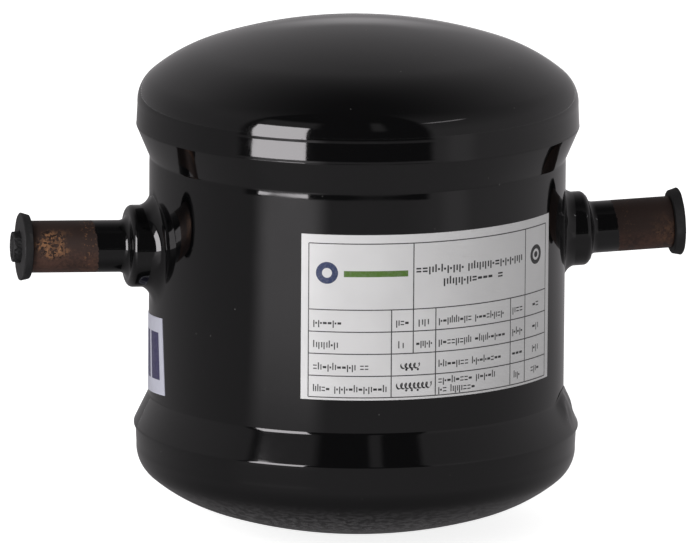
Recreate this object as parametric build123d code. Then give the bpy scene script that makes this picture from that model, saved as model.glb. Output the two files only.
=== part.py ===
from build123d import *
from dataclasses import dataclass
import math
import os

# Vertical liquid receiver: a small welded steel vessel with two side connections.
# Millimetres, Z up. The origin is the lowest point of the bottom head, on the vessel's axis.
# The connections lie along X, the inlet towards -X and the outlet towards +X.
# The front, which carries the rating label, faces -Y.

# Shell
shell_diameter = 110.0  # outside
shell_wall = 1.8
rim_gap = 80.0  # between the rims of the two heads

# Heads, both from one pressing tool; the three radii are outside ones
head_wall = 2.8
head_clearance = 0.4  # radial, between the shell and the head's skirt
skirt_length = 6.5
rim_flare = 0.25
knuckle_radius = 10.8
knuckle_turn = 56.0  # degrees of bend before the shoulder takes over
shoulder_radius = 28.5
crown_radius = 128.0
shell_end_gap = 0.5  # between the shell's end and the start of the knuckle

# Circular welds between the shell and the heads
bead_height = 8.3
bead_hollow = 0.3  # how far the bead's face sinks below the straight line
bead_lap = 0.6  # how far the bead climbs over the rim
top_bead_proud = 0.12
bottom_bead_proud = 0.45

# Connections
inlet_drop = 30.0  # from the top head's rim down to the inlet's axis
outlet_drop = 28.9
inlet_collar_diameter = 21.3
outlet_collar_diameter = 19.2
collar_stand = 6.3  # beyond the outside of the shell
collar_inside = 2.7  # beyond the inside of the shell
collar_rounding = 1.2
hole_clearance = 0.15  # radial, between the collar and the hole in the shell
saddle_leg_on_collar = 3.3
saddle_leg_on_shell = 4.4
saddle_toe_radius = 4.0

# Stub tubes
stub_diameter = 13.5
stub_clearance = 0.08  # radial, in the collar's bore
stub_bore = 8.0
inlet_stub_reach = 26.0  # beyond the collar
outlet_stub_reach = 23.8
stub_edge_rounding = 0.5
socket_diameter = 10.1
socket_depth = 12.0
braze_leg_on_stub = 1.8
braze_leg_on_collar = 2.1
braze_fullness = 0.36  # of each leg, at the middle of the hollow face

# Dip tube, from the outlet stub down to the bottom of the vessel
dip_diameter = 10.0
dip_wall = 1.0
dip_clearance = 0.08  # radial, in the outlet stub
dip_insertion = 6.0
dip_straight = 3.0  # between the stub's inner end and the bend
dip_bend_radius = 22.0
dip_floor_gap = 7.0  # from the tube's open end down to the inside of the bottom head
dip_braze_leg = 1.2

# Transport plugs
plug_flange_diameter = 17.3
plug_flange_thickness = 2.6
plug_flange_rounding = 0.7
plug_nub_diameter = 7.9
plug_nub_height = 1.9
plug_nub_rounding = 0.4
plug_clearance = 0.05  # radial, in the socket
plug_tip_gap = 4.0  # between the plug's tip and the foot of the socket
plug_tip_taper = 1.0

# Labels
label_thickness = 0.15
rating_label_width = 79.2  # along the shell
rating_label_height = 44.3
rating_label_gap = 8.45  # up from the bottom weld
rating_label_centre = -75.3  # degrees about Z, from +X
inlet_label_width = 24.3
inlet_label_gap_above = 3.4  # to the inlet's saddle weld
inlet_label_gap_below = 0.55  # to the bottom weld
inlet_label_centre = 179.4
inlet_label_tilt = 2.3

shell_radius = shell_diameter / 2
bore_radius = shell_radius - shell_wall
skirt_inner_radius = shell_radius + head_clearance
skirt_outer_radius = skirt_inner_radius + head_wall
stub_radius = stub_diameter / 2
collar_face = shell_radius + collar_stand
collar_inner_end = bore_radius - collar_inside
stub_inner_end = collar_inner_end
dip_socket_radius = dip_diameter / 2 + dip_clearance


# A head's outline has three arcs: knuckle, shoulder and crown. These are their centres, as
# radius and height above the rim, and the angle at which the crown takes over.
def head_centres():
    turn = math.radians(knuckle_turn)
    knuckle = Vector(skirt_outer_radius - knuckle_radius, skirt_length)
    shoulder = knuckle - Vector(math.cos(turn), math.sin(turn)) * (shoulder_radius - knuckle_radius)
    crown_turn = math.acos(shoulder.X / (crown_radius - shoulder_radius))
    crown = Vector(0, shoulder.Y - (crown_radius - shoulder_radius) * math.sin(crown_turn))
    return knuckle, shoulder, crown, math.degrees(crown_turn)


knuckle_centre, shoulder_centre, crown_centre, crown_start = head_centres()
head_depth = crown_centre.Y + crown_radius
bottom_rim = head_depth
top_rim = bottom_rim + rim_gap
shell_insertion = skirt_length - shell_end_gap
bottom_weld_top = bottom_rim + bead_height


@dataclass
class Port:
    name: str
    turn: float  # about Z, from +X
    height: float
    collar_diameter: float
    stub_reach: float
    takes_dip_tube: bool

    @property
    def collar_radius(self):
        return self.collar_diameter / 2

    @property
    def stub_end(self):
        return collar_face + self.stub_reach


inlet = Port("inlet", 180, top_rim - inlet_drop, inlet_collar_diameter, inlet_stub_reach, False)
outlet = Port("outlet", 0, top_rim - outlet_drop, outlet_collar_diameter, outlet_stub_reach, True)
ports = [inlet, outlet]


# The skirt and dome of a head on one side of the sheet, from the rim to the axis.
def head_outline(inset):
    skirt_radius = skirt_outer_radius - inset
    return [
        Line((skirt_radius + rim_flare, 0), (skirt_radius, skirt_length)),
        CenterArc(knuckle_centre, knuckle_radius - inset, 0, knuckle_turn),
        CenterArc(shoulder_centre, shoulder_radius - inset, knuckle_turn, crown_start - knuckle_turn),
        CenterArc(crown_centre, crown_radius - inset, crown_start, 90 - crown_start),
    ]


# A section is drawn with X as radius and Y as height, and turned about the vessel's axis.
def turned(edges):
    return revolve(Plane.XZ * make_face(edges), Axis.Z)


# A section is drawn with X along a port's axis, from the vessel's axis, and Y as radius.
def turned_on_port(port, edges):
    solid = revolve(Plane.XZ * make_face(edges), Axis.X)
    return placed(port, solid)


def placed(port, solid):
    return Rot(0, 0, port.turn) * Pos(0, 0, port.height) * solid


def port_cylinder(radius, start, end):
    middle = (start + end) / 2
    return Pos(middle, 0, 0) * Rot(0, 90, 0) * Cylinder(radius, end - start)


def shell():
    length = rim_gap + 2 * shell_insertion
    tube = Cylinder(shell_radius, length) - Cylinder(bore_radius, length)
    tube = Pos(0, 0, (bottom_rim + top_rim) / 2) * tube
    for port in ports:
        hole = port_cylinder(port.collar_radius + hole_clearance, collar_inner_end, collar_face)
        tube -= placed(port, hole)
    return tube


def head():
    outer = head_outline(0)
    inner = head_outline(head_wall)
    rim = Line(outer[0] @ 0, inner[0] @ 0)
    axis = Line(outer[-1] @ 1, inner[-1] @ 1)
    return turned(outer + inner + [rim, axis])


def top_head():
    return Pos(0, 0, top_rim) * head()


def bottom_head():
    return Pos(0, 0, bottom_rim) * mirror(head(), about=Plane.XY)


# The bead fills the corner between the shell and the rim, and laps a little over the rim.
# It is drawn below a rim at height 0.
def head_weld(proud):
    rim_radius = skirt_outer_radius + rim_flare
    toe = Vector(shell_radius, -bead_height)
    crest = Vector(rim_radius + proud, 0)
    across = (crest - toe).normalized()
    sunk = (toe + crest) / 2 + Vector(-across.Y, across.X) * bead_hollow
    lapped = Vector(rim_radius - rim_flare * bead_lap / skirt_length, bead_lap)
    face = ThreePointArc(toe, sunk, crest)
    back = Polyline(crest, lapped, (rim_radius, 0), (shell_radius, 0), toe)
    return turned([face, back])


def top_head_weld():
    return Pos(0, 0, top_rim) * head_weld(top_bead_proud)


def bottom_head_weld():
    return Pos(0, 0, bottom_rim) * mirror(head_weld(bottom_bead_proud), about=Plane.XY)


# Turned steel collar, set through the shell.
def boss(port):
    body = port_cylinder(port.collar_radius, collar_inner_end, collar_face)
    body = fillet(body.edges().sort_by(Axis.X)[-1], collar_rounding)
    bore = port_cylinder(stub_radius + stub_clearance, collar_inner_end, collar_face)
    return placed(port, body - bore)


# Saddle weld: the corner between the collar and the shell is filled all round, with one leg up
# the collar and one out over the shell, and its toe runs out hollow onto the shell.
def boss_weld(port):
    reach = port.collar_diameter + 2 * (saddle_leg_on_shell + saddle_toe_radius)
    vessel = Rot(0, 0, 180) * Cylinder(shell_radius, 2 * reach)  # its seam line away from the collar
    collar = port_cylinder(port.collar_radius, 0, collar_face + saddle_leg_on_collar)
    joined = vessel + collar
    collar_side = joined.faces().filter_by(GeomType.CYLINDER).sort_by(SortBy.AREA)[0]
    corner = collar_side.edges().filter_by(GeomType.BSPLINE)
    filled = chamfer(corner, saddle_leg_on_collar, saddle_leg_on_shell, reference=collar_side)
    slope = filled.faces().filter_by(GeomType.BSPLINE)[0]
    toe = slope.edges().sort_by(SortBy.LENGTH)[-1]
    filled = fillet(toe, saddle_toe_radius)
    return placed(port, filled - vessel - collar)


def stub(port):
    tube = port_cylinder(stub_radius, stub_inner_end, port.stub_end)
    tube = fillet(tube.edges().sort_by(Axis.X)[-1], stub_edge_rounding)
    tube -= port_cylinder(stub_bore / 2, stub_inner_end, port.stub_end)
    tube -= port_cylinder(socket_diameter / 2, port.stub_end - socket_depth, port.stub_end)
    if port.takes_dip_tube:
        tube -= port_cylinder(dip_socket_radius, stub_inner_end, stub_inner_end + dip_insertion)
    return placed(port, tube)


# A hollow fillet of braze round a tube, standing on a face across the tube. A negative leg on
# the tube puts it on the inner side of the face.
def braze_ring(port, radius, face, leg_on_tube, leg_on_face):
    root = Vector(face, radius)
    on_tube = Vector(face + leg_on_tube, radius)
    on_face = Vector(face, radius + leg_on_face)
    hollow = root + Vector(leg_on_tube, leg_on_face) * braze_fullness
    return turned_on_port(port, [ThreePointArc(on_tube, hollow, on_face), Polyline(on_face, root, on_tube)])


def stub_braze(port):
    return braze_ring(port, stub_radius, collar_face, braze_leg_on_stub, braze_leg_on_collar)


# The dip tube leaves the stub along X, bends down and ends just above the bottom.
def dip_tube(port):
    start = stub_inner_end + dip_insertion
    drop = stub_inner_end - dip_straight - dip_bend_radius
    foot = head_wall + dip_floor_gap - port.height
    path = FilletPolyline((start, 0, 0), (drop, 0, 0), (drop, 0, foot), radius=dip_bend_radius)
    outside = Circle(dip_diameter / 2)
    inside = Circle(dip_diameter / 2 - dip_wall)
    section = Plane(origin=path @ 0, z_dir=path % 0) * (outside - inside)
    return placed(port, sweep(section, path=path))


def dip_braze(port):
    return braze_ring(port, dip_diameter / 2, stub_inner_end, -dip_braze_leg, dip_braze_leg)


# Moulded rubber plug: a stem in the socket, a flange on the stub's end and a nub outside.
def plug(port):
    tip = port.stub_end - socket_depth + plug_tip_gap
    flange_face = port.stub_end + plug_flange_thickness
    stem = port_cylinder(socket_diameter / 2 - plug_clearance, tip, port.stub_end)
    stem = chamfer(stem.edges().sort_by(Axis.X)[0], plug_tip_taper)
    flange = port_cylinder(plug_flange_diameter / 2, port.stub_end, flange_face)
    flange = fillet(flange.edges().filter_by(GeomType.CIRCLE), plug_flange_rounding)
    nub = port_cylinder(plug_nub_diameter / 2, flange_face, flange_face + plug_nub_height)
    nub = fillet(nub.edges().sort_by(Axis.X)[-1], plug_nub_rounding)
    return placed(port, stem + flange + nub)


# A sheet that lies on the shell, as a part of a ring.
def rating_label():
    outside = shell_radius + label_thickness
    foot = bottom_weld_top + rating_label_gap
    top = foot + rating_label_height
    corners = [(shell_radius, foot), (outside, foot), (outside, top), (shell_radius, top)]
    section = Plane.XZ * make_face(Polyline(*corners, close=True))
    arc = math.degrees(rating_label_width / shell_radius)
    return Rot(0, 0, rating_label_centre - arc / 2) * revolve(section, Axis.Z, revolution_arc=arc)


# The small label fills the room between the inlet's saddle weld and the bottom weld. It is stuck
# on a little askew, so it is cut from a ring by a turned blank.
def inlet_label():
    slope = math.atan2(saddle_leg_on_collar, saddle_leg_on_shell)
    saddle_reach = inlet.collar_radius + saddle_leg_on_shell + saddle_toe_radius * math.tan(slope / 2)
    foot = bottom_weld_top + inlet_label_gap_below
    top = inlet.height - saddle_reach - inlet_label_gap_above
    tilt = math.radians(inlet_label_tilt)
    chord = 2 * shell_radius * math.sin(inlet_label_width / 2 / shell_radius)
    height = (top - foot - chord * math.sin(tilt)) / math.cos(tilt)
    ring = Cylinder(shell_radius + label_thickness, 2 * height)
    ring -= Cylinder(shell_radius, 2 * height)
    blank = Rot(inlet_label_tilt, 0, 0) * Box(shell_radius, chord, height)
    sheet = ring & (Pos(shell_radius, 0, 0) * blank)
    return Rot(0, 0, inlet_label_centre) * Pos(0, 0, (foot + top) / 2) * sheet


def pieces():
    parts = {
        "shell": shell(),
        "top_head": top_head(),
        "bottom_head": bottom_head(),
        "top_head_weld": top_head_weld(),
        "bottom_head_weld": bottom_head_weld(),
        "rating_label": rating_label(),
        "inlet_label": inlet_label(),
    }
    for port in ports:
        parts[port.name + "_boss"] = boss(port)
        parts[port.name + "_boss_weld"] = boss_weld(port)
        parts[port.name + "_stub"] = stub(port)
        parts[port.name + "_braze"] = stub_braze(port)
        parts[port.name + "_plug"] = plug(port)
        if port.takes_dip_tube:
            parts["dip_tube"] = dip_tube(port)
            parts["dip_tube_braze"] = dip_braze(port)
    return parts


def write(parts):
    os.makedirs("parts", exist_ok=True)
    for name, solid in parts.items():
        solid.label = name
        export_step(solid, "parts/" + name + ".step")


write(pieces())
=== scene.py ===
import math
import random
import bmesh
import bpy
from mathutils import Matrix, Vector, noise


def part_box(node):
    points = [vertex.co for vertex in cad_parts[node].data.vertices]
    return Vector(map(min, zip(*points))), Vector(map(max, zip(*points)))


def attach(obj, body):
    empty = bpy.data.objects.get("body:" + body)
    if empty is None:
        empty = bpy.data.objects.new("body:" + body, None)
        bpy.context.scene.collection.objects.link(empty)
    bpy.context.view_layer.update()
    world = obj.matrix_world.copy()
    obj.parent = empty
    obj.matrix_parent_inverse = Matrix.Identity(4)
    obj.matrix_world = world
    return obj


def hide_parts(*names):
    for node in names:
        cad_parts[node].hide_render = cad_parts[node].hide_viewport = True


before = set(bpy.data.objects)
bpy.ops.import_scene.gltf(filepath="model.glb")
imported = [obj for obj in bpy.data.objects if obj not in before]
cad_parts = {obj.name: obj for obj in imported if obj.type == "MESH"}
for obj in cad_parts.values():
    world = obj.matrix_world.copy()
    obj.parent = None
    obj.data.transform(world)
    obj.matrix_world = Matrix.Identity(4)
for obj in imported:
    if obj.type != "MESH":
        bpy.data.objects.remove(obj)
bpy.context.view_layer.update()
print("frame loaded:", len(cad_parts), "nodes")

# Sizes in the dictionaries are millimetres, and become metres where the mesh is made
mm = 0.001
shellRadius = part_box("shell")[1].x / mm
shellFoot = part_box("shell")[0].z / mm
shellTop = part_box("shell")[1].z / mm
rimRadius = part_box("top_head")[1].x / mm
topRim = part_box("top_head")[0].z / mm
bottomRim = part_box("bottom_head")[1].z / mm


# A socket in a shader. Sums on it add Math nodes, and node() adds any other node.
class Wire:
    def __init__(self, tree, socket=None):
        self.tree = tree
        self.socket = socket

    def node(self, kind, settings=None, inputs=None, output=0):
        made = self.tree.nodes.new(kind)
        for name, value in (settings or {}).items():
            setattr(made, name, value)
        for name, value in (inputs or {}).items():
            if isinstance(value, Wire):
                self.tree.links.new(value.socket, made.inputs[name])
            else:
                made.inputs[name].default_value = value
        return Wire(self.tree, made.outputs[output]) if made.outputs else made

    def math(self, operation, other=None, swap=False):
        pair = [self] if other is None else [self, other]
        if swap:
            pair.reverse()
        return self.node("ShaderNodeMath", {"operation": operation}, dict(enumerate(pair)))

    def __add__(self, other):
        return self.math("ADD", other)

    def __radd__(self, other):
        return self.math("ADD", other)

    def __sub__(self, other):
        return self.math("SUBTRACT", other)

    def __rsub__(self, other):
        return self.math("SUBTRACT", other, swap=True)

    def __mul__(self, other):
        return self.math("MULTIPLY", other)

    def __rmul__(self, other):
        return self.math("MULTIPLY", other)

    def __truediv__(self, other):
        return self.math("DIVIDE", other)

    def __abs__(self):
        return self.math("ABSOLUTE")

    def atLeast(self, other):
        return self.math("MAXIMUM", other)

    # 0 at the start, 1 at the end and smooth in between; the end may be the lower number
    def rise(self, start, end):
        low, high, first, last = (start, end, 0.0, 1.0) if start < end else (end, start, 1.0, 0.0)
        inputs = {"Value": self, "From Min": low, "From Max": high, "To Min": first, "To Max": last}
        return self.node("ShaderNodeMapRange", {"interpolation_type": "SMOOTHSTEP"}, inputs)

    # 1 inside a band, with soft edges
    def band(self, start, end, soft):
        return self.rise(start - soft, start + soft) * self.rise(end + soft, end - soft)

    def axes(self):
        return [self.node("ShaderNodeSeparateXYZ", {}, {0: self}, output=name) for name in ("X", "Y", "Z")]

    def grain(self, scale, detail=2.0, roughness=0.5, seed=0.0, stretch=(1, 1, 1)):
        moved = {"Vector": self, "Scale": stretch, "Location": (seed, -seed, seed)}
        place = self.node("ShaderNodeMapping", {}, moved)
        inputs = {"Vector": place, "Scale": scale, "Detail": detail, "Roughness": roughness}
        return self.node("ShaderNodeTexNoise", {}, inputs)

    # small round spots, one in each cell of the given scale at most
    def specks(self, scale, size, seed=0.0):
        place = self.node("ShaderNodeMapping", {}, {"Vector": self, "Location": (seed, seed, -seed)})
        return self.node("ShaderNodeTexVoronoi", {}, {"Vector": place, "Scale": scale}).rise(size, size * 0.5)

    # one colour into another where this wire is 1
    def tint(self, first, second):
        return self.node("ShaderNodeMix", {"data_type": "RGBA"}, {0: self, 6: first, 7: second}, output=2)

    def bump(self, height, over=None):
        inputs = {"Strength": 1.0, "Distance": height * mm, "Height": self}
        if over is not None:
            inputs["Normal"] = over
        return self.node("ShaderNodeBump", {}, inputs)


def rgb(red, green, blue):
    return (red, green, blue, 1.0)


def startMaterial(name):
    material = bpy.data.materials.new(name)
    material.use_nodes = True
    material.node_tree.nodes.clear()
    return material, Wire(material.node_tree)


def closeMaterial(start, shader):
    start.node("ShaderNodeOutputMaterial", {}, {"Surface": shader})


def principled(start, sockets):
    closeMaterial(start, start.node("ShaderNodeBsdfPrincipled", {}, sockets))


def objectPlace(start):
    return start.node("ShaderNodeTexCoord", {}, {}, output="Object")


paintLook = {
    "colour": rgb(0.0010, 0.0010, 0.0012),
    "dust": rgb(0.055, 0.055, 0.052),
    "ridgeHighlight": rgb(0.10, 0.097, 0.10),
    "roughness": 0.055, "smearRoughness": 0.03, "dustRoughness": 0.3,
    "waves": 0.030, "peel": 0.0035, "wrinkles": 0.17,
    "wrinkledBelow": 17.0, "wrinkledFully": 7.0,
}


# Gloss black baked paint: long soft waves, fine orange peel, wrinkles under the bottom head with painted
# highlights on their ridges, dust
def makePaint(name, look):
    material, start = startMaterial(name)
    place = objectPlace(start)
    x, y, z = place.axes()
    waves = place.grain(75, 1.0).bump(look["waves"])
    peel = place.grain(620, 1.0, seed=0.3).bump(look["peel"], waves)
    under = z.rise(look["wrinkledBelow"] * mm, look["wrinkledFully"] * mm)
    ridges = place.grain(900, 2.0, seed=0.7, stretch=(0.6, 0.6, 1.5))
    wrinkles = (ridges * under).bump(look["wrinkles"], peel)
    # painted highlight: the wrinkle ridges under the bottom head are tinted a lighter grey
    paintedRidgeHighlight = (ridges.rise(0.40, 0.62) * under).tint(look["colour"], look["ridgeHighlight"])
    dust = place.specks(170, 0.040, 0.11).atLeast(place.specks(80, 0.026, 0.57))
    smear = place.grain(60, 3.0, 0.6, seed=1.3).rise(0.45, 0.75)
    rough = smear * look["smearRoughness"] + (dust + under * 0.6) * look["dustRoughness"]
    principled(start, {
        "Base Color": dust.tint(paintedRidgeHighlight, look["dust"]),
        "Roughness": rough + look["roughness"],
        "IOR": 1.5,
        "Normal": wrinkles,
    })
    return material


copperLook = {
    "brown": rgb(0.100, 0.049, 0.035),
    "dark": rgb(0.042, 0.024, 0.019),
    "orange": rgb(0.30, 0.145, 0.068),
    "pit": rgb(0.022, 0.012, 0.009),
    "roughness": 0.50,
}


# The plating of each port: where the paint ends along the port, how its edge leans with the
# height, and the golden patch
inletPlating = {
    "side": -1, "paintEnd": 70.4, "paintLean": -0.065,
    "patchMiddle": (-0.0823, -0.0062, 0.0790), "patchSize": 4.4, "patchAmount": 1.0,
}
outletPlating = {
    "side": 1, "paintEnd": 69.6, "paintLean": 0.12,
    "patchMiddle": (0.0825, -0.0062, 0.0772), "patchSize": 4.4, "patchAmount": 0.28,
}
portHeight = topRim - 32.2


# Copper plating, heat-tinted and stained, with painted shade on its upper side and the paint of the vessel on its
# inner end
def makeCopper(name, look, plating):
    side, paintEnd, amount = plating["side"], plating["paintEnd"], plating["patchAmount"]
    material, start = startMaterial(name)
    place = objectPlace(start)
    x, y, z = place.axes()
    along = x * (side / mm)
    stain = place.grain(170, 3.0, 0.6, seed=side)
    mottle = place.grain(1300, 3.0, 0.6, seed=2.0 + side)
    tone = (stain * 0.55 + mottle * 0.45).rise(0.36, 0.64).tint(look["dark"], look["brown"])
    ends = {0: place, 1: plating["patchMiddle"]}
    middle = place.node("ShaderNodeVectorMath", {"operation": "DISTANCE"}, ends, output="Value")
    cells = place.node("ShaderNodeTexVoronoi", {}, {"Vector": place, "Scale": 1500.0}, output="Color")
    grains = cells.axes()[0] * 0.6 + mottle * 0.4
    away = middle / (plating["patchSize"] * mm) + stain * 2.4 - 1.2
    patch = away.rise(1.3, 0.3) * grains.rise(0.2, 0.75) * amount
    speckle = place.grain(1900, 1.0, seed=7.0 + side).rise(0.60, 0.70)
    glints = speckle * along.band(paintEnd + 0.5, paintEnd + 4.0, 1.0) * 0.55 * amount
    # painted shade: the upper side of the stub is tinted towards the dark tone
    height = z * (1 / mm) - portHeight
    shaded = height.rise(-1.0, 4.0).tint(tone, look["dark"])
    golden = patch.atLeast(glints).tint(shaded, look["orange"])
    pits = place.grain(1100, 2.0, seed=9.0 + side).rise(0.55, 0.62) * patch.rise(0.0, 0.3)
    metal = pits.tint(golden, look["pit"])
    edge = along + height * plating["paintLean"] + (place.grain(700, 3.0, 0.65, seed=3.0) - 0.5) * 1.6
    bare = edge.rise(paintEnd - 0.15, paintEnd + 0.15)
    peel = place.grain(620, 1.0, seed=0.3).bump(0.0035)
    rough = (mottle * bare * 0.7 + (1 - bare) * 0.5).bump(0.03, peel)
    gloss = paintLook["roughness"]
    principled(start, {
        "Base Color": bare.tint(paintLook["colour"], metal),
        "Metallic": bare * 0.45,
        "Roughness": bare * (stain * 0.3 + look["roughness"] - 0.1 - gloss) + gloss,
        "IOR": 1.5,
        "Normal": rough,
    })
    return material


rubberLook = {
    "colour": rgb(0.010, 0.0095, 0.010), "worn": rgb(0.021, 0.020, 0.020),
    "scratch": rgb(0.055, 0.054, 0.054), "roughness": 0.62, "grainDepth": 0.03,
}
darkRubberLook = {
    "colour": rgb(0.004, 0.004, 0.0045), "worn": rgb(0.012, 0.012, 0.012),
    "scratch": rgb(0.03, 0.03, 0.03), "roughness": 0.5, "grainDepth": 0.12,
}


def makeRubber(name, look):
    material, start = startMaterial(name)
    place = objectPlace(start)
    grain = place.grain(900, 3.0, 0.6)
    scuff = place.grain(300, 3.0, 0.65, seed=4.0).rise(0.52, 0.72)
    slanted = place.node("ShaderNodeMapping", {}, {
        "Vector": place, "Rotation": (0.75, 0, 0), "Scale": (0.4, 1, 0.06),
    })
    scratch = slanted.grain(2600, 1.0, seed=2.0).rise(0.70, 0.76) * scuff
    worn = scuff.tint(look["colour"], look["worn"])
    principled(start, {
        "Base Color": scratch.tint(worn, look["scratch"]),
        "Roughness": grain * 0.2 + look["roughness"],
        "Normal": grain.bump(look["grainDepth"]),
    })
    return material


def makeFilm(name, colour, roughness):
    material, start = startMaterial(name)
    place = objectPlace(start)
    cloud = place.grain(90, 2.0).rise(0.3, 0.7)
    darker = tuple(channel * 0.96 for channel in colour[:3]) + (1.0,)
    principled(start, {
        "Base Color": cloud.tint(darker, colour),
        "Roughness": cloud * 0.06 + roughness,
        "Normal": place.grain(140, 2.0).bump(0.006),
    })
    return material


def makeInk(name, colour, roughness=0.4):
    material, start = startMaterial(name)
    place = objectPlace(start)
    fade = place.grain(1500, 2.0, 0.6).rise(0.35, 0.75)
    paler = tuple(channel * 0.8 + 0.06 for channel in colour[:3]) + (1.0,)
    principled(start, {
        "Base Color": fade.tint(colour, paler),
        "Roughness": roughness,
    })
    return material


steelLook = {"colour": rgb(0.42, 0.42, 0.41), "dark": rgb(0.25, 0.24, 0.23), "roughness": 0.35}
brazeLook = {"colour": rgb(0.62, 0.44, 0.24), "dark": rgb(0.34, 0.22, 0.12), "roughness": 0.4}


def makeSteel(name, look):
    material, start = startMaterial(name)
    place = objectPlace(start)
    stain = place.grain(160, 3.0, 0.6)
    drawn = place.grain(1800, 2.0, 0.6, stretch=(1, 1, 0.05))
    principled(start, {
        "Base Color": stain.rise(0.35, 0.7).tint(look["colour"], look["dark"]),
        "Metallic": 1.0,
        "Roughness": stain * 0.2 + look["roughness"] - 0.1,
        "Normal": drawn.bump(0.004),
    })
    return material


paint = makePaint("gloss_black_paint", paintLook)
copperLeft = makeCopper("copper_plating_left", copperLook, inletPlating)
copperRight = makeCopper("copper_plating_right", copperLook, outletPlating)
rubber = makeRubber("moulded_rubber", rubberLook)
darkRubber = makeRubber("rough_rubber", darkRubberLook)
film = makeFilm("label_film", rgb(0.74, 0.73, 0.735), 0.33)
paleFilm = makeFilm("inlet_label_film", rgb(0.60, 0.60, 0.70), 0.30)
blackInk = makeInk("black_ink", rgb(0.010, 0.010, 0.011))
greyInk = makeInk("grey_ink", rgb(0.035, 0.035, 0.037))
blueInk = makeInk("blue_ink", rgb(0.007, 0.022, 0.095))
greenInk = makeInk("green_ink", rgb(0.085, 0.18, 0.022))
indigoInk = makeInk("indigo_ink", rgb(0.022, 0.016, 0.095))
steel = makeSteel("bare_steel", steelLook)
brazeMetal = makeSteel("braze_metal", brazeLook)
print("materials made")


# A line in the X-Z plane, drawn by one vertex that is pushed and spun, and then turned to a shape
class Section:
    def __init__(self, x, z):
        self.bm = bmesh.new()
        self.tip = self.bm.verts.new((x * mm, 0, z * mm))

    def lineTo(self, x, z, steps=1):
        start = self.tip.co.copy()
        end = Vector((x, 0, z)) * mm
        for step in range(1, steps + 1):
            self.tip = bmesh.ops.extrude_vert_indiv(self.bm, verts=[self.tip])["verts"][0]
            self.tip.co = start.lerp(end, step / steps)
        return self

    # about a centre, from +X towards +Z
    def arc(self, x, z, degrees, steps):
        made = bmesh.ops.spin(self.bm, geom=[self.tip], cent=(x * mm, 0, z * mm), axis=(0, -1, 0),
                              angle=math.radians(degrees), steps=steps, use_merge=False)
        self.tip = [part for part in made["geom_last"] if isinstance(part, bmesh.types.BMVert)][0]
        return self

    def turn(self, segments, axis=(0, 0, 1)):
        bmesh.ops.spin(self.bm, geom=self.bm.verts[:] + self.bm.edges[:], cent=(0, 0, 0), axis=axis,
                       angle=2 * math.pi, steps=segments, use_merge=True)
        bmesh.ops.remove_doubles(self.bm, verts=self.bm.verts, dist=1e-7)
        return self.bm


def finishPiece(name, bm, materials, nodes, sharp=35.0):
    bmesh.ops.recalc_face_normals(bm, faces=bm.faces)
    mesh = bpy.data.meshes.new(name)
    bm.to_mesh(mesh)
    bm.free()
    mesh.shade_smooth()
    if sharp:
        mesh.set_sharp_from_angle(angle=math.radians(sharp))
    piece = bpy.data.objects.new(name, mesh)
    bpy.context.scene.collection.objects.link(piece)
    for material in materials:
        mesh.materials.append(material)
    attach(piece, "root")
    if nodes:
        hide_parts(*nodes)


# Pressed heads: skirt, knuckle, shoulder and crown, with a wall
headShape = {
    "wall": 2.8,
    "skirtLength": 6.3,
    "flare": 0.25,
    "rimRounding": 0.15,
    "waist": 0.007, "waistLength": 0.8,
    "knuckleRadius": 8.9,
    "knuckleTurn": 50.0,
    "shoulderRadius": 42.4,
    "crownRadius": 128.0,
    "segments": 224,
}


def makeHead(name, up, rim, shape):
    skirt = rimRadius - shape["flare"]
    turn = math.radians(shape["knuckleTurn"])
    reach = shape["shoulderRadius"] - shape["knuckleRadius"]
    knuckleX, knuckleZ = skirt - shape["knuckleRadius"], shape["skirtLength"]
    shoulderX, shoulderZ = knuckleX - math.cos(turn) * reach, knuckleZ - math.sin(turn) * reach
    crownReach = shape["crownRadius"] - shape["shoulderRadius"]
    crownStart = math.degrees(math.acos(shoulderX / crownReach))
    crownZ = shoulderZ - math.sin(math.radians(crownStart)) * crownReach
    wall, edge = shape["wall"], shape["rimRounding"]
    section = Section(skirt - wall, 0).lineTo(rimRadius - edge, 0).arc(rimRadius - edge, edge, 88, 5)
    section.lineTo(skirt - shape["waist"], shape["skirtLength"] - shape["waistLength"], 5)
    section.lineTo(skirt, shape["skirtLength"], 4)
    section.arc(knuckleX, knuckleZ, shape["knuckleTurn"], 30)
    section.arc(shoulderX, shoulderZ, crownStart - shape["knuckleTurn"], 14)
    section.arc(0, crownZ, 90 - crownStart, 36)
    section.lineTo(0, crownZ + shape["crownRadius"] - wall)
    section.arc(0, crownZ, crownStart - 90, 12)
    section.arc(shoulderX, shoulderZ, shape["knuckleTurn"] - crownStart, 5)
    section.arc(knuckleX, knuckleZ, -shape["knuckleTurn"], 8)
    section.lineTo(skirt - wall, 0)
    bm = section.turn(shape["segments"])
    bmesh.ops.scale(bm, vec=(1, 1, up), verts=bm.verts)
    bmesh.ops.translate(bm, vec=(0, 0, rim * mm), verts=bm.verts)
    finishPiece(name, bm, [paint], [name.replace("_painted", "")])


makeHead("top_head_painted", 1, topRim, headShape)
makeHead("bottom_head_painted", -1, bottomRim, headShape)
print("heads made")

# Shell: plain, with a slight uneven dip in the paint just below the top weld
shellShape = {
    "wall": 1.8, "dipDepth": 0.045, "dipLength": 2.1, "dipStart": 99.45, "dipWaves": 0.9,
    "dipPitch": 6.5, "dipSeed": 2.4, "segments": 288,
}


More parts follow.
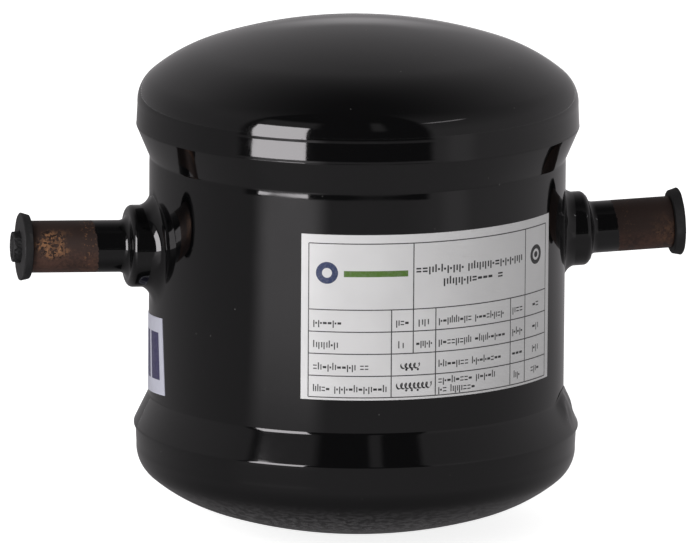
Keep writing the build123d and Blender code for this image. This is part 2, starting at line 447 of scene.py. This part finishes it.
def makeShell(shape):
    section = Section(shellRadius - shape["wall"], shellFoot).lineTo(shellRadius, shellFoot)
    section.lineTo(shellRadius, shape["dipStart"] - shape["dipLength"], 40)
    section.lineTo(shellRadius, shape["dipStart"], 16).lineTo(shellRadius, shellTop)
    section.lineTo(shellRadius - shape["wall"], shellTop).lineTo(shellRadius - shape["wall"], shellFoot)
    bm = section.turn(shape["segments"])
    for vert in bm.verts:
        part = (vert.co.z / mm - shape["dipStart"]) / shape["dipLength"] + 1
        if part <= 0 or vert.co.xy.length < (shellRadius - 0.5) * mm:
            continue
        around = vert.co.xy.normalized().to_3d()
        deep = 1 + shape["dipWaves"] * noise.noise(around * shape["dipPitch"] + Vector((0, 0, shape["dipSeed"])))
        dip = shape["dipDepth"] * deep * (0.5 - 0.5 * math.cos(math.pi * min(1.0, part)))
        vert.co -= around * (dip * mm)
    finishPiece("shell_painted", bm, [paint], ["shell"])


makeShell(shellShape)
print("shell made")

# Circular welds: a straight face with a round toe on the shell and a round crest over the rim
topBeadShape = {
    "height": 8.2, "proud": 0.03, "toeRadius": 1.4, "crestRadius": 0.8, "crestTurn": 6.0,
    "waves": 0.035, "seed": 3.0, "segments": 360,
    "lumpHeight": 0.0, "lumpPlace": 72.0, "lumpWidth": 7.0, "lumpLevel": 0.70, "lumpTall": 0.42, "toeClimb": 2.2,
}
bottomBeadShape = {
    "height": 8.1, "proud": 0.42, "toeRadius": 2.2, "crestRadius": 1.2, "crestTurn": 10.0,
    "waves": 0.018, "seed": 8.0, "segments": 360,
    "lumpHeight": 0.80, "lumpPlace": 72.0, "lumpWidth": 8.0, "lumpLevel": 0.70, "lumpTall": 0.42, "toeClimb": 2.2,
}


# Unevenness of a weld: long waves, and a lump near the toe where the run ends over its start. The
# toe climbs up the shell there.
def roughenBead(bm, shape):
    bm.normal_update()
    moves = []
    for vert in bm.verts:
        angle = math.atan2(vert.co.x, -vert.co.y)
        level = vert.co.z / mm / shape["height"]
        across = min(1.0, max(0.0, (vert.co.xy.length / mm - shellRadius) / 0.8))
        around = Vector((math.sin(angle), math.cos(angle), 0)) * 5.5
        wave = noise.noise(around * 1.1 + Vector((0, 0, shape["seed"] + level * 0.7)))
        wave += 0.12 * noise.noise(around * 3.7 + Vector((0, 0, shape["seed"] * 2 + level * 1.3)))
        off = (math.degrees(angle) - shape["lumpPlace"]) / shape["lumpWidth"]
        spread = math.exp(-(off ** 4)) * min(1.0, shape["lumpHeight"])
        away = (level + shape["lumpLevel"]) / shape["lumpTall"]
        lump = shape["lumpHeight"] * spread * math.exp(-(away ** 2))
        lump *= 1 + 0.4 * noise.noise(around * 7 + Vector((0, 0, level * 4)))
        climb = Vector((0, 0, -shape["toeClimb"] * spread * min(1.0, max(0.0, -level - 0.35) / 0.65)))
        moves.append((vert, (vert.normal * (shape["waves"] * wave * across + lump) + climb) * mm))
    for vert, move in moves:
        vert.co += move


def makeBead(name, up, rim, shape):
    toe = shellRadius - 0.02
    crest = rimRadius + shape["proud"]
    slope = math.degrees(math.atan2(crest - toe, shape["height"]))
    lean = math.radians(slope)
    toeLength = shape["toeRadius"] * math.tan(lean / 2)
    crestLength = shape["crestRadius"] * math.tan(lean / 2)
    section = Section(toe - 0.6, -shape["height"] - toeLength)
    section.lineTo(toe, -shape["height"] - toeLength)
    section.arc(toe + shape["toeRadius"], -shape["height"] - toeLength, -slope, 12)
    section.lineTo(crest - math.sin(lean) * crestLength, -math.cos(lean) * crestLength, 10)
    section.arc(crest - shape["crestRadius"], crestLength, slope + shape["crestTurn"], 14)
    section.lineTo(rimRadius - 1.2, section.tip.co.z / mm)
    section.lineTo(toe - 0.6, 0.1).lineTo(toe - 0.6, -shape["height"] - toeLength)
    bm = section.turn(shape["segments"])
    bmesh.ops.recalc_face_normals(bm, faces=bm.faces)
    roughenBead(bm, shape)
    bmesh.ops.scale(bm, vec=(1, 1, up), verts=bm.verts)
    bmesh.ops.translate(bm, vec=(0, 0, rim * mm), verts=bm.verts)
    finishPiece(name, bm, [paint], [name.replace("_painted", "")])


makeBead("top_head_weld_painted", 1, topRim, topBeadShape)
makeBead("bottom_head_weld_painted", -1, bottomRim, bottomBeadShape)
print("circular welds made")

# Connections: all is drawn along +X from the vessel's axis, about the port's own axis, and then
# tilted and put in place
inletShape = {
    "side": -1, "tilt": 1.25, "collarRadius": 10.85, "stubEnd": 87.9, "dipSocket": False, "nubHeight": 2.0,
    "copper": copperLeft, "seed": 1.0, "weldSize": 1.0, "weldLean": -0.12,
}
outletShape = {
    "side": 1, "tilt": 2.3, "collarRadius": 9.85, "stubEnd": 84.7, "dipSocket": True, "nubHeight": 0.8,
    "copper": copperRight, "seed": 5.0, "weldSize": 0.80, "weldLean": -0.05,
}
collarShape = {"innerEnd": 50.5, "face": 61.9, "rounding": 1.6, "bore": 6.83, "segments": 128}
stubShape = {
    "radius": 6.87, "start": 50.5, "endRounding": 0.5, "bore": 4.0, "socketRadius": 5.05, "socketDepth": 12.0,
    "dipSocketRadius": 5.08, "dipSocketDepth": 6.0, "segments": 112,
}
brazeShape = {"leg": 2.0, "segments": 96}
saddleShape = {
    "onCollar": 2.9, "onShell": 3.75, "lessBeside": 0.25, "waves": 0.16, "toeWaves": 0.16, "segments": 224,
}
plugShape = {
    "stemRadius": 5.0, "stemLength": 8.0,
    "backRadius": 8.45, "faceRadius": 8.95, "thickness": 2.5, "rounding": 0.3,
    "nubRadius": 4.0, "ringWidth": 0.35, "ringDepth": 0.3, "hollow": 0.45,
    "bulge": 0.12, "grain": 0.03, "roughness": 0.32, "segments": 144,
}


def putOnPort(bm, port):
    turn = math.pi if port["side"] < 0 else 0.0
    place = Matrix.Rotation(turn, 3, "Z") @ Matrix.Rotation(-math.radians(port["tilt"]), 3, "Y")
    bmesh.ops.rotate(bm, cent=(0, 0, 0), matrix=place, verts=bm.verts)
    bmesh.ops.translate(bm, vec=(0, 0, portHeight * mm), verts=bm.verts)


def makeCollar(prefix, port, shape):
    edge, face, radius = shape["rounding"], shape["face"], port["collarRadius"]
    section = Section(shape["innerEnd"], shape["bore"]).lineTo(shape["innerEnd"], radius)
    section.lineTo(face - edge, radius, 8).arc(face - edge, radius - edge, -90, 14)
    section.lineTo(face, shape["bore"], 3).lineTo(shape["innerEnd"], shape["bore"])
    bm = section.turn(shape["segments"], (1, 0, 0))
    putOnPort(bm, port)
    finishPiece(prefix + "_boss_painted", bm, [paint], [prefix + "_boss"])


# The weld is a hollow ring, larger below than beside the collar. It is spun flat, and then every
# vertex is pushed out to the round shell, which leans against the port's axis by the tilt.
def makeSaddle(prefix, port, shape):
    radius, onCollar, reach = port["collarRadius"], shape["onCollar"], shape["onShell"]
    hollow = (onCollar ** 2 + reach ** 2) / (2 * onCollar)
    section = Section(-1.2, radius - 0.3).lineTo(onCollar, radius - 0.3).lineTo(onCollar, radius + 0.02)
    section.arc(hollow, radius + reach, -math.degrees(math.asin(reach / hollow)), 18)
    section.lineTo(-0.05, radius + reach + 0.3).lineTo(-1.2, radius + reach).lineTo(-1.2, radius - 0.3)
    bm = section.turn(shape["segments"], (1, 0, 0))
    tilt = math.radians(port["tilt"])
    for vert in bm.verts:
        angle = math.atan2(vert.co.y, vert.co.z)
        distance = math.hypot(vert.co.y, vert.co.z) / mm
        out = distance - radius
        around = Vector((math.sin(angle), math.cos(angle), port["seed"])) * 1.7
        part = max(0.0, min(1.0, out / reach))
        lump = noise.noise(around * 1.4) * math.sin(math.pi * part) * shape["waves"]
        if out > 0:
            spread = port["weldSize"] + port["weldLean"] * math.cos(angle)
            spread += shape["lessBeside"] * math.cos(2 * angle)
            spread += noise.noise(around * 2.2) * shape["toeWaves"]
            stretched = (radius + out * spread) / distance
            vert.co.y *= stretched
            vert.co.z *= stretched
        vert.co.x += lump * mm
        back = math.sqrt((shellRadius * mm) ** 2 - vert.co.y ** 2)
        vert.co.x += (back + vert.co.z * math.sin(tilt)) / math.cos(tilt)
    putOnPort(bm, port)
    finishPiece(prefix + "_boss_weld_painted", bm, [paint], [prefix + "_boss_weld"], sharp=60)


def makeStub(prefix, port, shape):
    start, end, radius, edge = shape["start"], port["stubEnd"], shape["radius"], shape["endRounding"]
    inner = shape["dipSocketRadius"] if port["dipSocket"] else shape["bore"]
    foot = end - shape["socketDepth"]
    section = Section(start, inner).lineTo(start, radius).lineTo(end - edge, radius, 40)
    section.arc(end - edge, radius - edge, -90, 6).lineTo(end, shape["socketRadius"])
    section.lineTo(foot, shape["socketRadius"]).lineTo(foot, shape["bore"])
    if port["dipSocket"]:
        section.lineTo(start + shape["dipSocketDepth"], shape["bore"])
        section.lineTo(start + shape["dipSocketDepth"], inner)
    section.lineTo(start, inner)
    bm = section.turn(shape["segments"], (1, 0, 0))
    putOnPort(bm, port)
    finishPiece(prefix + "_stub_plated", bm, [port["copper"]], [prefix + "_stub"])


def makeBraze(prefix, port, shape):
    face, radius, leg = collarShape["face"], stubShape["radius"], shape["leg"]
    section = Section(face - 0.3, radius - 0.2).lineTo(face - 0.3, radius + leg).lineTo(face, radius + leg)
    section.arc(face + leg, radius + leg, 90, 14)
    section.lineTo(face + leg + 0.3, radius - 0.05).lineTo(face - 0.3, radius - 0.2)
    bm = section.turn(shape["segments"], (1, 0, 0))
    putOnPort(bm, port)
    finishPiece(prefix + "_braze_painted", bm, [paint], [prefix + "_braze"])


# A moulded plug: its flange widens outwards, and its nub stands in a narrow ring groove, with a
# rough side and a hollow end
def makePlug(prefix, port, shape):
    back = port["stubEnd"]
    face, tip, edge = back + shape["thickness"], back - shape["stemLength"], shape["rounding"]
    end, nub = face + port["nubHeight"], shape["nubRadius"]
    ring, groove, floor = nub + shape["ringWidth"], face - shape["ringDepth"], end - shape["hollow"]
    section = Section(tip, 0).lineTo(tip, shape["stemRadius"] - 1).lineTo(tip + 1, shape["stemRadius"])
    section.lineTo(back, shape["stemRadius"]).lineTo(back, shape["backRadius"] - edge, 2)
    section.arc(back + edge, shape["backRadius"] - edge, -90, 4)
    section.lineTo(face - edge, shape["faceRadius"], 5).arc(face - edge, shape["faceRadius"] - edge, -90, 4)
    section.lineTo(face, ring, 6).lineTo(groove, ring - 0.1).lineTo(groove, nub)
    section.lineTo(end - 0.3, nub, 4).arc(end - 0.3, nub - 0.3, -90, 4)
    section.lineTo(end, nub - 0.9).lineTo(floor, nub - 1.3, 2).lineTo(floor, 0, 3)
    bm = section.turn(shape["segments"], (1, 0, 0))
    for vert in bm.verts:
        place = vert.co / mm
        outwards = Vector((0, place.y, place.z))
        if place.x > back + 0.01 and outwards.length > 0.1:
            push = noise.noise(place * 0.45 + Vector((port["seed"], 0, 0))) * shape["bulge"]
            push += noise.noise(place * 2.6) * shape["grain"]
            if place.x > face + 0.01:
                push += noise.noise(place * 3.1) * shape["roughness"]
            vert.co += outwards.normalized() * (push * mm)
    for part in bm.faces:
        middle = part.calc_center_median() / mm
        part.material_index = int(middle.x > face - 0.5 and middle.yz.length < ring)
    putOnPort(bm, port)
    finishPiece(prefix + "_plug_moulded", bm, [rubber, darkRubber], [prefix + "_plug"],
                sharp=50)


def makePort(prefix, port):
    makeCollar(prefix, port, collarShape)
    makeSaddle(prefix, port, saddleShape)
    makeStub(prefix, port, stubShape)
    makeBraze(prefix, port, brazeShape)
    makePlug(prefix, port, plugShape)


makePort("inlet", inletShape)
makePort("outlet", outletShape)
print("connections made")


# A flat sheet or print is drawn in X-Y, in millimetres from the label's upper left corner, and
# then wrapped round the shell. Its cells are narrow enough to follow the shell.
widestCell = 1.5
labelLift = 0.15
printLift = labelLift + 0.012


def flatBar(bm, left, top, width, height, lift, index=0):
    cells = max(1, math.ceil(width / widestCell))
    made = bmesh.ops.create_grid(bm, x_segments=cells, y_segments=1, size=0.5)
    verts = made["verts"]
    bmesh.ops.scale(bm, vec=(width, height, 1), verts=verts)
    bmesh.ops.translate(bm, vec=(left + width / 2, -top - height / 2, lift), verts=verts)
    for face in {face for vert in verts for face in vert.link_faces}:
        face.material_index = index


def wrapRound(bm, left, top):
    for vert in bm.verts:
        angle = left + vert.co.x / shellRadius
        out = (shellRadius + vert.co.z) * mm
        vert.co = Vector((out * math.cos(angle), out * math.sin(angle), (top + vert.co.y) * mm))


# A flat disc or ring, with rings of faces that can follow the shell
def flatDisc(bm, left, top, inner, outer, lift, index=0):
    before = set(bm.verts)
    tip = bm.verts.new((inner, 0, 0))
    for step in range(1, 4):
        tip = bmesh.ops.extrude_vert_indiv(bm, verts=[tip])["verts"][0]
        tip.co.x = inner + (outer - inner) * step / 3
    row = set(bm.verts) - before
    edges = {edge for vert in row for edge in vert.link_edges}
    bmesh.ops.spin(bm, geom=list(row) + list(edges), cent=(0, 0, 0), axis=(0, 0, 1),
                   angle=2 * math.pi, steps=36, use_merge=True)
    made = [vert for vert in bm.verts if vert not in before]
    bmesh.ops.remove_doubles(bm, verts=made, dist=1e-5)
    made = [vert for vert in bm.verts if vert not in before]
    bmesh.ops.translate(bm, vec=(left, -top, lift), verts=made)
    for face in {face for vert in made for face in vert.link_faces}:
        face.material_index = index


# The film's edge goes down into the paint by a little, and its long upright edges are cut
def makeFilmSheet(name, shape, left, top, material, node):
    width, height = shape["width"], shape["height"]
    bm = bmesh.new()
    flatBar(bm, 0, 0, width, height, labelLift)
    rim = bmesh.ops.extrude_edge_only(bm, edges=[edge for edge in bm.edges if edge.is_boundary])["geom"]
    lower = [part for part in rim if isinstance(part, bmesh.types.BMVert)]
    bmesh.ops.translate(bm, vec=(0, 0, -labelLift - 0.02), verts=lower)
    spans = [(edge, edge.verts[0].co - edge.verts[1].co) for edge in bm.edges]
    cuts = [edge for edge, span in spans if abs(span.x) < 1e-6 and abs(span.y) > 1]
    bmesh.ops.subdivide_edges(bm, edges=cuts, cuts=7, use_grid_fill=True)
    turned = Matrix.Rotation(math.radians(shape["tilt"]), 3, "Z")
    bmesh.ops.rotate(bm, cent=(width / 2, -height / 2, 0), matrix=turned, verts=bm.verts)
    wrapRound(bm, left, top)
    finishPiece(name, bm, [material], [node])


# The angle of a label's left edge round the shell, from the angle of its middle in degrees
def leftEdge(shape):
    return math.radians(shape["centre"]) - shape["width"] / 2 / shellRadius


ratingShape = {"width": 77.5, "height": 43.8, "centre": -75.8, "tilt": 0.0, "lower": 0.1}
ratingLeft = leftEdge(ratingShape)
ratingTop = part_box("rating_label")[1].z / mm - ratingShape["lower"]
makeFilmSheet("rating_label_film", ratingShape, ratingLeft, ratingTop, film, "rating_label")

# Layout of the rating label's print: rules, with each upright one as (column, first row, last
# row), rows of plain marks as (left, top, width), two pen scribbles as (left, top, width, tall), a
# ring and a bar, and a ring with a dot
ratingPrint = {
    "line": 0.28,
    "columns": [2.0, 23.7, 29.5, 35.65, 59.5, 65.4, 75.5],
    "rows": [2.35, 19.85, 25.7, 31.55, 37.4, 43.1],
    "uprights": [(0, 0, -1), (6, 0, -1), (2, 0, 1), (5, 0, 1), (1, 1, -1), (3, 1, -1), (4, 1, -1), (5, 1, -1),
                 (2, 1, 3)],
    "words": [
        (3.3, 22.2, 7.6), (24.9, 22.2, 3.6), (30.9, 22.2, 3.2), (36.5, 22.2, 9.9), (47.3, 22.2, 9.9),
        (60.3, 22.0, 4.3), (68.9, 21.8, 3.2),
        (3.3, 28.0, 6.8), (25.5, 28.2, 1.9), (30.3, 27.9, 4.6), (36.5, 27.9, 9.9), (47.3, 27.9, 10.4),
        (60.3, 27.8, 4.3), (68.9, 27.6, 3.2),
        (3.3, 33.9, 11.4), (15.6, 33.9, 2.4), (36.5, 33.7, 9.0), (46.4, 33.7, 9.9), (60.3, 33.6, 4.3),
        (68.9, 33.4, 3.2),
        (3.3, 39.7, 4.6), (8.9, 39.7, 13.9), (36.5, 38.1, 10.2), (47.7, 38.1, 6.6), (36.5, 40.5, 2.6),
        (40.0, 40.5, 7.6), (61.0, 39.4, 2.6), (68.3, 39.0, 4.2),
    ],
    "wordMarks": {"height": 1.9, "stroke": 0.29, "pitch": 1.28},
    "headings": [(30.2, 8.3, 13.8), (45.0, 8.3, 19.4), (37.8, 11.7, 15.4), (54.8, 11.7, 2.1)],
    "headingMarks": {"height": 2.05, "stroke": 0.42, "pitch": 1.75},
    "markSeed": 11,
    "scribbles": [(26.4, 34.2, 4.6, 1.3), (25.3, 39.4, 9.0, 1.5)], "nib": 0.40, "loopWidth": 1.15,
    "dots": [(27.7, 35.85), (29.2, 35.85), (30.8, 35.85), (27.7, 41.35), (29.2, 41.35), (30.8, 41.35)],
    "dotRadius": 0.3,
    "blueRing": (6.8, 10.1, 1.3, 2.9), "greenBar": (11.2, 9.5, 16.8, 1.6),
    "blackRing": (70.3, 9.8, 1.5, 2.6), "blackDot": (70.3, 9.8, 0.0, 0.8),
}


# A plain mark in place of a letter: an upright pair, a small block, a level pair or an upright
# with a block
def drawMark(bm, left, top, width, marks, source):
    height, stroke = marks["height"], marks["stroke"]
    low = height * 0.74
    head = top + height - low
    kind = source.randrange(4)
    if kind in (0, 3):
        flatBar(bm, left, source.choice((top, head, head)), stroke, height, printLift)
    if kind == 0:
        flatBar(bm, left + width - stroke, head, stroke, low, printLift)
    if kind == 1:
        flatBar(bm, left, head + low * 0.3, width, low * 0.42, printLift)
    if kind == 2:
        flatBar(bm, left, head + low * 0.1, width, stroke, printLift)
        flatBar(bm, left, head + low * 0.9 - stroke, width, stroke, printLift)
    if kind == 3:
        flatBar(bm, left + stroke * 1.8, head + low * 0.35, width - stroke * 1.8, low * 0.36, printLift)


def drawMarks(bm, words, marks, source):
    for left, top, width in words:
        count = max(1, round(width / marks["pitch"]))
        step = width / count
        for number in range(count):
            drawMark(bm, left + step * number, top, step * 0.76, marks, source)


# A pen scribble of plain loops: the nib's edge is pushed along step by step
def drawScribble(bm, left, top, width, tall, shape):
    turns, steps = round(width / shape["loopWidth"]), 18
    reach = shape["nib"] * 0.4
    ends = [bm.verts.new((left - out, -top - out, printLift)) for out in (reach, -reach)]
    edge = bm.edges.new(ends)
    last = None
    for step in range(turns * steps + 1):
        turn = 2 * math.pi * step / steps
        at = Vector((width * step / (turns * steps) - 0.45 * math.sin(turn), tall * 0.5 * math.cos(turn), 0))
        if last is not None:
            made = bmesh.ops.extrude_edge_only(bm, edges=[edge])["geom"]
            verts = [part for part in made if isinstance(part, bmesh.types.BMVert)]
            bmesh.ops.translate(bm, vec=at - last, verts=verts)
            edge = bm.edges.get(verts)
        last = at


def makeRatingPrint(shape):
    bm = bmesh.new()
    source = random.Random(shape["markSeed"])
    columns, rows, line = shape["columns"], shape["rows"], shape["line"]
    for row in rows:
        flatBar(bm, columns[0], row - line / 2, columns[-1] - columns[0], line, printLift, 1)
    for column, first, last in shape["uprights"]:
        flatBar(bm, columns[column] - line / 2, rows[first], line, rows[last] - rows[first], printLift, 1)
    drawMarks(bm, shape["words"], shape["wordMarks"], source)
    drawMarks(bm, shape["headings"], shape["headingMarks"], source)
    flatDisc(bm, *shape["blueRing"], printLift, 2)
    flatBar(bm, *shape["greenBar"], printLift, 3)
    flatDisc(bm, *shape["blackRing"], printLift)
    flatDisc(bm, *shape["blackDot"], printLift)
    for left, top, width, tall in shape["scribbles"]:
        drawScribble(bm, left, top, width, tall, shape)
    for left, top in shape["dots"]:
        flatDisc(bm, left, top, 0.0, shape["dotRadius"], printLift)
    wrapRound(bm, ratingLeft, ratingTop)
    finishPiece("rating_label_print", bm, [blackInk, greyInk, blueInk, greenInk], [], sharp=0)


makeRatingPrint(ratingPrint)

# The inlet label, with three plain bars
inletLabelShape = {
    "width": 24.3, "height": 20.45, "centre": 179.4, "tilt": 5.8, "raise": 0.5,
    "bars": [(3.2, 3.1), (8.4, 3.1), (13.6, 7.6)], "barTop": 4.0, "barHeight": 12.6,
}
inletLow, inletHigh = (corner.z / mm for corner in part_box("inlet_label"))
inletLeft = leftEdge(inletLabelShape)
inletTop = (inletLow + inletHigh) / 2 + inletLabelShape["height"] / 2 + inletLabelShape["raise"]
makeFilmSheet("inlet_label_film", inletLabelShape, inletLeft, inletTop, paleFilm,
              "inlet_label")


def makeInletPrint(shape):
    bm = bmesh.new()
    for left, width in shape["bars"]:
        flatBar(bm, left, shape["barTop"], width, shape["barHeight"], printLift)
    turned = Matrix.Rotation(math.radians(shape["tilt"]), 3, "Z")
    bmesh.ops.rotate(bm, cent=(shape["width"] / 2, -shape["height"] / 2, 0), matrix=turned, verts=bm.verts)
    wrapRound(bm, inletLeft, inletTop)
    finishPiece("inlet_label_print", bm, [indigoInk], [], sharp=0)


makeInletPrint(inletLabelShape)
print("labels made")

# The dip tube and its braze are inside and keep their CAD shapes
for name, material in (("dip_tube", steel), ("dip_tube_braze", brazeMetal)):
    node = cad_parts[name]
    node.data.materials.clear()
    node.data.materials.append(material)

# Camera at the photograph's angle; turn is from the front, positive towards +X
cameraShape = {
    "turn": -11.0, "rise": 11.3, "roll": 0.40, "distance": 3.0, "lens": 583.5, "aim": (0, 0, 70.27),
    "aimPixel": (356.9, 263.0), "imageSize": (700, 543),
}


def makeCamera(shape):
    data = bpy.data.cameras.new("camera")
    camera = bpy.data.objects.new("camera", data)
    bpy.context.scene.collection.objects.link(camera)
    bpy.context.scene.camera = camera
    turn, rise = math.radians(shape["turn"]), math.radians(shape["rise"])
    back = Vector((math.sin(turn) * math.cos(rise), -math.cos(turn) * math.cos(rise), math.sin(rise)))
    data.sensor_width = 36
    data.lens = shape["lens"]
    data.clip_end = 50
    width, height = shape["imageSize"]
    data.shift_x = -(shape["aimPixel"][0] - width / 2) / width
    data.shift_y = (shape["aimPixel"][1] - height / 2) / width
    camera.location = Vector(shape["aim"]) * mm + back * shape["distance"]
    look = Matrix.Rotation(turn, 3, "Z") @ Matrix.Rotation(math.pi / 2 - rise, 3, "X")
    camera.rotation_euler = (look @ Matrix.Rotation(math.radians(shape["roll"]), 3, "Z")).to_euler()


makeCamera(cameraShape)

# Studio. Directions are degrees to the right of the camera, as seen from the vessel
studio = {
    "softboxTurn": -39.8, "softboxDistance": 0.66, "softboxWidth": 0.335,
    "softboxFoot": 0.004, "softboxTop": 0.432, "softboxLevel": 10.1, "lampLevel": 5.3,
    "worldLevel": 0.61, "roomRadius": 2.2,
    "floorRadius": 30.0, "floorColour": 0.80, "floorTopUp": 0.84,
}


def studioDirection(degrees):
    turn = math.radians(cameraShape["turn"] + degrees)
    return Vector((math.sin(turn), -math.cos(turn), 0))


def makeSoftbox(shape):
    light = bpy.data.lights.new("softbox", "AREA")
    light.shape = "RECTANGLE"
    light.size = shape["softboxWidth"]
    light.size_y = shape["softboxTop"] - shape["softboxFoot"]
    light.energy = shape["lampLevel"] * math.pi * light.size * light.size_y
    lamp = bpy.data.objects.new("softbox", light)
    bpy.context.scene.collection.objects.link(lamp)
    out = studioDirection(shape["softboxTurn"])
    middle = (shape["softboxTop"] + shape["softboxFoot"]) / 2
    lamp.location = out * shape["softboxDistance"] + Vector((0, 0, middle))
    lamp.rotation_euler = (-out).to_track_quat("-Z", "Y").to_euler()
    lamp.visible_camera = False
    lamp.visible_glossy = False
    card = bmesh.new()
    bmesh.ops.create_grid(card, x_segments=1, y_segments=1, size=0.5)
    bmesh.ops.scale(card, vec=(light.size, light.size_y, 1), verts=card.verts)
    turned = lamp.rotation_euler.to_matrix().to_4x4()
    bmesh.ops.transform(card, matrix=Matrix.Translation(lamp.location) @ turned, verts=card.verts)
    makeCard("softbox_card", card, lambda x, y, z: shape["softboxLevel"])


def onlyInReflections(card):
    card.visible_camera = False
    card.visible_diffuse = False
    card.visible_shadow = False
    card.visible_transmission = False


# Degrees to the right of the camera, from -180 to 180, of a point on a card
def cardTurn(x, y):
    ahead, aside = studioDirection(0), studioDirection(90)
    forward = x * ahead.x + y * ahead.y
    sideways = x * aside.x + y * aside.y
    return sideways.math("ARCTAN2", forward) * (180 / math.pi)


def makeCard(name, bm, level):
    material, start = startMaterial(name)
    x, y, z = objectPlace(start).axes()
    shade = level(x, y, z)
    tone = start.node("ShaderNodeCombineXYZ", {}, {0: shade, 1: shade * 0.965, 2: shade * 0.99})
    closeMaterial(start, start.node("ShaderNodeEmission", {}, {"Color": tone, "Strength": 1.0}))
    mesh = bpy.data.meshes.new(name)
    bm.to_mesh(mesh)
    bm.free()
    mesh.materials.append(material)
    card = bpy.data.objects.new(name, mesh)
    bpy.context.scene.collection.objects.link(card)
    onlyInReflections(card)


# The grey room that the paint reflects: walls, a dark ceiling, the dark side behind the camera,
# the paler wall just above the softbox, and a few narrow lights. "dark" covers the stretch of
# turns from darkFrom to darkTo, on the table too.
roomLook = {
    "walls": 0.33, "dark": 0.07, "right": 0.14, "left": 0.05,
    "streak": 0.25, "spot": 0.30, "glint": 3.5, "halo": 0.28,
    "darkFrom": -62, "darkTo": 38, "darkEdge": 2.5,
}
tableLook = {
    "plain": 0.36, "glow": 0.90, "left": -0.06, "right": 0.10, "back": -0.06, "strip": 0.16,
    "far": 0.07, "near": 0.35,
}


def roomLevel(x, y, z):
    look = roomLook
    across = (x * x + y * y).math("SQRT")
    turn = cardTurn(x, y)
    up = z.math("ARCTAN2", across) * (180 / math.pi)
    right = turn.rise(-20, 60) * abs(turn).rise(170, 110) * up.rise(45, 15) * look["right"]
    left = turn.rise(-60, -90) * abs(turn).rise(170, 130) * look["left"]
    ceiling = up.rise(35, 85)
    cameraSide = turn.band(look["darkFrom"], look["darkTo"], look["darkEdge"])
    streak = turn.band(8, 15, 2) * up.band(25, 50, 6) * look["streak"]
    dark = 1 - (1 - ceiling) * (1 - cameraSide)
    spot = abs(turn).rise(174, 180) * up.band(9, 17, 3) * look["spot"]
    glint = turn.band(42, 66, 5) * up.band(42.5, 44.2, 0.8) * look["glint"]
    halo = turn.band(-57, -23, 4) * up.band(28, 46, 4) * look["halo"]
    return (right + left + look["walls"]) * (1 - dark) + dark * look["dark"] + streak + spot + glint + halo


# The table as the paint reflects it: a painted pool of light in front of the softbox, a painted shadow close to
# the vessel, and dark beyond the camera
def tableLevel(x, y, z):
    look = tableLook
    across = (x * x + y * y).math("SQRT")
    turn = cardTurn(x, y)
    glow = turn.band(-52, -19, 6) * across.rise(0.10, 0.42) * look["glow"]
    left = turn.rise(-30, -62) * look["left"]
    right = turn.rise(20, 45) * across.rise(0.20, 0.50) * look["right"]
    back = abs(turn).rise(95, 140) * look["back"]
    strip = turn.band(46, 60, 5) * across.rise(0.25, 0.45) * look["strip"]
    far = across.rise(0.55, 0.75) * turn.band(roomLook["darkFrom"], roomLook["darkTo"], roomLook["darkEdge"])
    # painted shadow: the table is darker close to the vessel
    near = across.rise(0.03, 0.11) * (1 - look["near"]) + look["near"]
    return (glow + left + right + back + strip + look["plain"]) * near * (1 - far) + far * look["far"]


def makeStudio(shape):
    makeSoftbox(shape)
    room = bmesh.new()
    bmesh.ops.create_uvsphere(room, u_segments=48, v_segments=24, radius=shape["roomRadius"])
    makeCard("room_card", room, roomLevel)
    table = bmesh.new()
    bmesh.ops.create_circle(table, cap_ends=True, segments=96, radius=shape["roomRadius"] * 0.95)
    bmesh.ops.translate(table, vec=(0, 0, 0.0002), verts=table.verts)
    makeCard("table_card", table, tableLevel)

    floor = bmesh.new()
    bmesh.ops.create_circle(floor, cap_ends=True, segments=96, radius=shape["floorRadius"])
    mesh = bpy.data.meshes.new("floor")
    floor.to_mesh(mesh)
    floor.free()
    material, start = startMaterial("floor")
    seen = lightPathSees(start)
    diffuse = start.node("ShaderNodeBsdfDiffuse", {}, {"Color": rgb(*[shape["floorColour"]] * 3)})
    glow = start.node("ShaderNodeEmission", {}, {"Strength": seen * shape["floorTopUp"]})
    closeMaterial(start, start.node("ShaderNodeAddShader", {}, {0: diffuse, 1: glow}))
    mesh.materials.append(material)
    plane = bpy.data.objects.new("floor", mesh)
    bpy.context.scene.collection.objects.link(plane)

    world = bpy.data.worlds.new("studio")
    bpy.context.scene.world = world
    world.use_nodes = True
    world.node_tree.nodes.clear()
    start = Wire(world.node_tree)
    seen = lightPathSees(start)
    level = shape["worldLevel"]
    sky = start.node("ShaderNodeBackground", {}, {"Strength": seen * (1 - level) + level})
    start.node("ShaderNodeOutputWorld", {}, {"Surface": sky})


# 1 for what the camera, a reflection or glass sees directly
def lightPathSees(start):
    path = {name: start.node("ShaderNodeLightPath", {}, {}, output=name) for name in
            ("Is Camera Ray", "Is Glossy Ray", "Is Transmission Ray")}
    return path["Is Camera Ray"].atLeast(path["Is Glossy Ray"]).atLeast(path["Is Transmission Ray"])


makeStudio(studio)
bpy.context.scene.view_settings.view_transform = "Standard"
print("camera and studio made")
